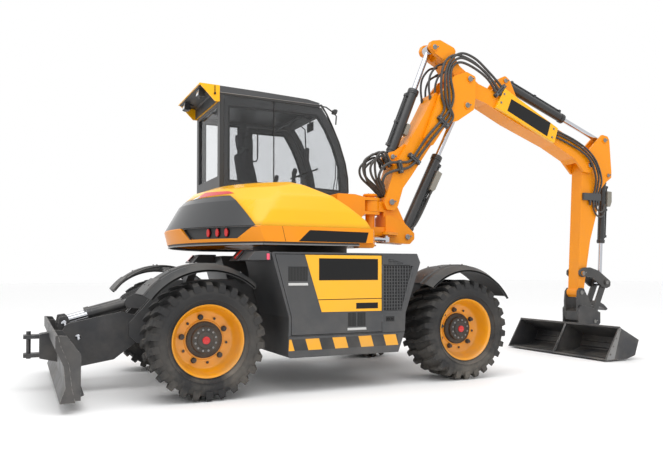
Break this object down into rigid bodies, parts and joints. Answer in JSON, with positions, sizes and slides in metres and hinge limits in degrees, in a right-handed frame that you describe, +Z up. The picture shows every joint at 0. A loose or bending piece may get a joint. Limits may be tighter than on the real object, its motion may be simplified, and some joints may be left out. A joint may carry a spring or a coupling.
{
  "type": "wheeled excavator",
  "caption": "Compact wheeled excavator with a two-piece swing arm, ditching bucket, levelling blade, enclosed cab and steered wheels front and rear.",
  "frame": {"origin": "on the ground, straight under the centre of the slew ring", "axes": "+X forward along the arm, +Y to the machine's left, +Z up"},
  "size_m": [7.365, 2.48, 3.865],
  "materials": {
    "yellow_paint": "gloss",
    "gold_paint": "satin",
    "chassis_paint": "satin",
    "charcoal_paint": "satin",
    "tyre": "matt",
    "chrome": "polished",
    "black_steel": "satin",
    "bucket_steel": "satin",
    "dark_plastic": "matt",
    "cast_metal": "matt",
    "glass": "tinted",
    "seat_cloth": "woven",
    "lamp_red": "gloss",
    "lamp_clear": "gloss"
  },
  "bodies": {
    "chassis": {"chassis_frame": "chassis_paint", "slew_ring": "cast_metal", "engine_housing": "chassis_paint", "engine_block": "cast_metal", "side_grille": "dark_plastic", "tank_housing": "chassis_paint", "chassis_lamps": "lamp_red", "axle_front": "cast_metal", "axle_rear": "cast_metal", "front_mudguards": "dark_plastic", "rear_mudguards": "dark_plastic"},
    "engine_door": {"engine_door": "chassis_paint"},
    "knuckle_front_left": {"knuckle_front_left": "cast_metal"},
    "wheel_front_left": {"tyre_front_left": "tyre", "rim_front_left": "yellow_paint"},
    "knuckle_front_right": {"knuckle_front_right": "cast_metal"},
    "wheel_front_right": {"tyre_front_right": "tyre", "rim_front_right": "yellow_paint"},
    "knuckle_rear_left": {"knuckle_rear_left": "cast_metal"},
    "wheel_rear_left": {"tyre_rear_left": "tyre", "rim_rear_left": "yellow_paint"},
    "knuckle_rear_right": {"knuckle_rear_right": "cast_metal"},
    "wheel_rear_right": {"tyre_rear_right": "tyre", "rim_rear_right": "yellow_paint"},
    "blade": {"blade": "bucket_steel"},
    "blade_barrels": {"blade_barrels": "black_steel"},
    "blade_rods": {"blade_rods": "chrome"},
    "upper": {"deck": "gold_paint", "hood": "yellow_paint", "counterweight": "charcoal_paint", "tail_lamps": "lamp_red", "cab_shell": "chassis_paint", "cab_glass": "glass", "cab_roof": "chassis_paint", "rear_canopy": "yellow_paint", "work_lamps": "lamp_clear", "controls": "dark_plastic", "seat": "seat_cloth"},
    "cab_door": {"cab_door": "chassis_paint", "cab_door_glass": "glass"},
    "kingpost": {"kingpost": "gold_paint"},
    "swing_barrel": {"swing_barrel": "black_steel"},
    "swing_rod": {"swing_rod": "chrome"},
    "boom": {"boom": "gold_paint"},
    "boom_barrel": {"boom_barrel": "black_steel"},
    "boom_rod": {"boom_rod": "chrome"},
    "intermediate_boom": {"intermediate_boom": "gold_paint"},
    "adjust_barrel": {"adjust_barrel": "black_steel"},
    "adjust_rod": {"adjust_rod": "chrome"},
    "dipper": {"dipper": "gold_paint"},
    "dipper_barrel": {"dipper_barrel": "black_steel"},
    "dipper_rod": {"dipper_rod": "chrome"},
    "bucket": {"quick_hitch": "black_steel", "bucket": "bucket_steel"},
    "tipping_lever": {"tipping_lever": "black_steel"},
    "tipping_link": {"tipping_link": "black_steel"},
    "bucket_barrel": {"bucket_barrel": "black_steel"},
    "bucket_rod": {"bucket_rod": "chrome"}
  },
  "joints": [
    {"name": "engine_door_hinge", "type": "hinge", "parent": "chassis", "child": "engine_door", "pos_m": [0.338, -1.2, 0.886], "axis": [0, 0, 1], "range_deg": [0, 90]},
    {"name": "steer_front_left", "type": "hinge", "parent": "chassis", "child": "knuckle_front_left", "pos_m": [1.325, 0.85, 0.505], "axis": [0, 0, 1], "range_deg": [-28, 28]},
    {"name": "roll_front_left", "type": "hinge", "parent": "knuckle_front_left", "child": "wheel_front_left", "pos_m": [1.325, 0.97, 0.505], "axis": [0, 1, 0], "continuous": true},
    {"name": "steer_front_right", "type": "hinge", "parent": "chassis", "child": "knuckle_front_right", "pos_m": [1.325, -0.85, 0.505], "axis": [0, 0, 1], "range_deg": [-28.5, 28.5]},
    {"name": "roll_front_right", "type": "hinge", "parent": "knuckle_front_right", "child": "wheel_front_right", "pos_m": [1.325, -0.97, 0.505], "axis": [0, 1, 0], "continuous": true},
    {"name": "steer_rear_left", "type": "hinge", "parent": "chassis", "child": "knuckle_rear_left", "pos_m": [-1.325, 0.85, 0.505], "axis": [0, 0, 1], "range_deg": [-28, 28]},
    {"name": "roll_rear_left", "type": "hinge", "parent": "knuckle_rear_left", "child": "wheel_rear_left", "pos_m": [-1.325, 0.97, 0.505], "axis": [0, 1, 0], "continuous": true},
    {"name": "steer_rear_right", "type": "hinge", "parent": "chassis", "child": "knuckle_rear_right", "pos_m": [-1.325, -0.85, 0.505], "axis": [0, 0, 1], "range_deg": [-28.5, 28.5]},
    {"name": "roll_rear_right", "type": "hinge", "parent": "knuckle_rear_right", "child": "wheel_rear_right", "pos_m": [-1.325, -0.97, 0.505], "axis": [0, 1, 0], "continuous": true},
    {"name": "blade_lift", "type": "hinge", "parent": "chassis", "child": "blade", "pos_m": [-1.78, 0, 0.54], "axis": [0, 1, 0], "range_deg": [-15, 25]},
    {"name": "blade_barrel_turn", "type": "hinge", "parent": "chassis", "child": "blade_barrels", "pos_m": [-1.83, 0, 0.79], "axis": [0, 1, 0], "range_deg": [-16.44, 26.58]},
    {"name": "blade_rod_slide", "type": "slide", "parent": "blade_barrels", "child": "blade_rods", "axis": [-0.9671, 0, -0.2545], "range_m": [-0.1115, 0.0683]},
    {"name": "slew", "type": "hinge", "parent": "chassis", "child": "upper", "pos_m": [0, 0, 1.36], "axis": [0, 0, 1], "continuous": true},
    {"name": "cab_door_hinge", "type": "hinge", "parent": "upper", "child": "cab_door", "pos_m": [-0.24, 1.19, 2.225], "axis": [0, 0, 1], "range_deg": [0, 100]},
    {"name": "arm_swing", "type": "hinge", "parent": "upper", "child": "kingpost", "pos_m": [0.87, 0, 1.65], "axis": [0, 0, 1], "range_deg": [-50, 50]},
    {"name": "swing_barrel_turn", "type": "hinge", "parent": "upper", "child": "swing_barrel", "pos_m": [0.23, -0.56, 1.452], "axis": [0, 0, 1], "range_deg": [-2.82, 2.82]},
    {"name": "swing_rod_slide", "type": "slide", "parent": "swing_barrel", "child": "swing_rod", "axis": [0.9191, 0.3939, 0], "range_m": [-0.2052, 0.2052]},
    {"name": "boom_lift", "type": "hinge", "parent": "kingpost", "child": "boom", "pos_m": [1.078, 0, 1.889], "axis": [0, -1, 0], "range_deg": [-60, 22]},
    {"name": "boom_barrel_turn", "type": "hinge", "parent": "kingpost", "child": "boom_barrel", "pos_m": [1.292, 0, 1.494], "axis": [0, -1, 0], "range_deg": [-57.75, 22.61]},
    {"name": "boom_rod_slide", "type": "slide", "parent": "boom_barrel", "child": "boom_rod", "axis": [0.4523, 0, 0.8919], "range_m": [-0.4367, 0.1675]},
    {"name": "boom_adjust", "type": "hinge", "parent": "boom", "child": "intermediate_boom", "pos_m": [2.149, 0, 3.429], "axis": [0, 1, 0], "range_deg": [-40, 25]},
    {"name": "adjust_barrel_turn", "type": "hinge", "parent": "boom", "child": "adjust_barrel", "pos_m": [1.12, 0, 2.42], "axis": [0, 1, 0], "range_deg": [-1.76, 1.13]},
    {"name": "adjust_rod_slide", "type": "slide", "parent": "adjust_barrel", "child": "adjust_rod", "axis": [0.3818, 0, 0.9243], "range_m": [-0.4068, 0.2591]},
    {"name": "dipper_swing", "type": "hinge", "parent": "intermediate_boom", "child": "dipper", "pos_m": [4.175, 0, 2.53], "axis": [0, -1, 0], "range_deg": [-45, 55]},
    {"name": "dipper_barrel_turn", "type": "hinge", "parent": "intermediate_boom", "child": "dipper_barrel", "pos_m": [2.78, 0, 3.512], "axis": [0, -1, 0], "range_deg": [-3.51, 4.24]},
    {"name": "dipper_rod_slide", "type": "slide", "parent": "dipper_barrel", "child": "dipper_rod", "axis": [0.9421, 0, -0.3352], "range_m": [-0.4231, 0.3488]},
    {"name": "bucket_curl", "type": "hinge", "parent": "dipper", "child": "bucket", "pos_m": [4.022, 0, 0.813], "axis": [0, -1, 0], "range_deg": [-85, 50]},
    {"name": "lever_turn", "type": "hinge", "parent": "dipper", "child": "tipping_lever", "pos_m": [4.05, 0, 1.07], "axis": [0, -1, 0], "range_deg": [-58.76, 35.31]},
    {"name": "link_turn", "type": "hinge", "parent": "bucket", "child": "tipping_link", "pos_m": [4.236, 0, 0.424], "axis": [0, -1, 0], "range_deg": [-23.71, 39.47]},
    {"name": "bucket_barrel_turn", "type": "hinge", "parent": "dipper", "child": "bucket_barrel", "pos_m": [4.56, 0, 2.418], "axis": [0, -1, 0], "range_deg": [-6.31, 3.79]},
    {"name": "bucket_rod_slide", "type": "slide", "parent": "bucket_barrel", "child": "bucket_rod", "axis": [-0.0542, 0, -0.9985], "range_m": [-0.2376, 0.3954]}
  ],
  "couplings": [
    {"joint": "steer_front_right", "follows": "steer_front_left", "ratio": 1},
    {"joint": "steer_rear_right", "follows": "steer_rear_left", "ratio": 1},
    {"joint": "blade_barrel_turn", "follows": "blade_lift", "ratio": 1.0146},
    {"joint": "blade_rod_slide", "follows": "blade_lift", "m_per_rad": -0.24751},
    {"joint": "swing_barrel_turn", "follows": "arm_swing", "ratio": -0.05312},
    {"joint": "swing_rod_slide", "follows": "arm_swing", "m_per_rad": 0.22606},
    {"joint": "boom_barrel_turn", "follows": "boom_lift", "ratio": 0.92457},
    {"joint": "boom_rod_slide", "follows": "boom_lift", "m_per_rad": 0.40596},
    {"joint": "adjust_barrel_turn", "follows": "boom_adjust", "ratio": 0.04206},
    {"joint": "adjust_rod_slide", "follows": "boom_adjust", "m_per_rad": 0.56441},
    {"joint": "dipper_barrel_turn", "follows": "dipper_swing", "ratio": 0.07318},
    {"joint": "dipper_rod_slide", "follows": "dipper_swing", "m_per_rad": -0.42526},
    {"joint": "lever_turn", "follows": "bucket_curl", "ratio": 0.67},
    {"joint": "link_turn", "follows": "bucket_curl", "ratio": -0.45},
    {"joint": "bucket_barrel_turn", "follows": "bucket_curl", "ratio": 0.072},
    {"joint": "bucket_rod_slide", "follows": "bucket_curl", "m_per_rad": -0.25832}
  ]
}
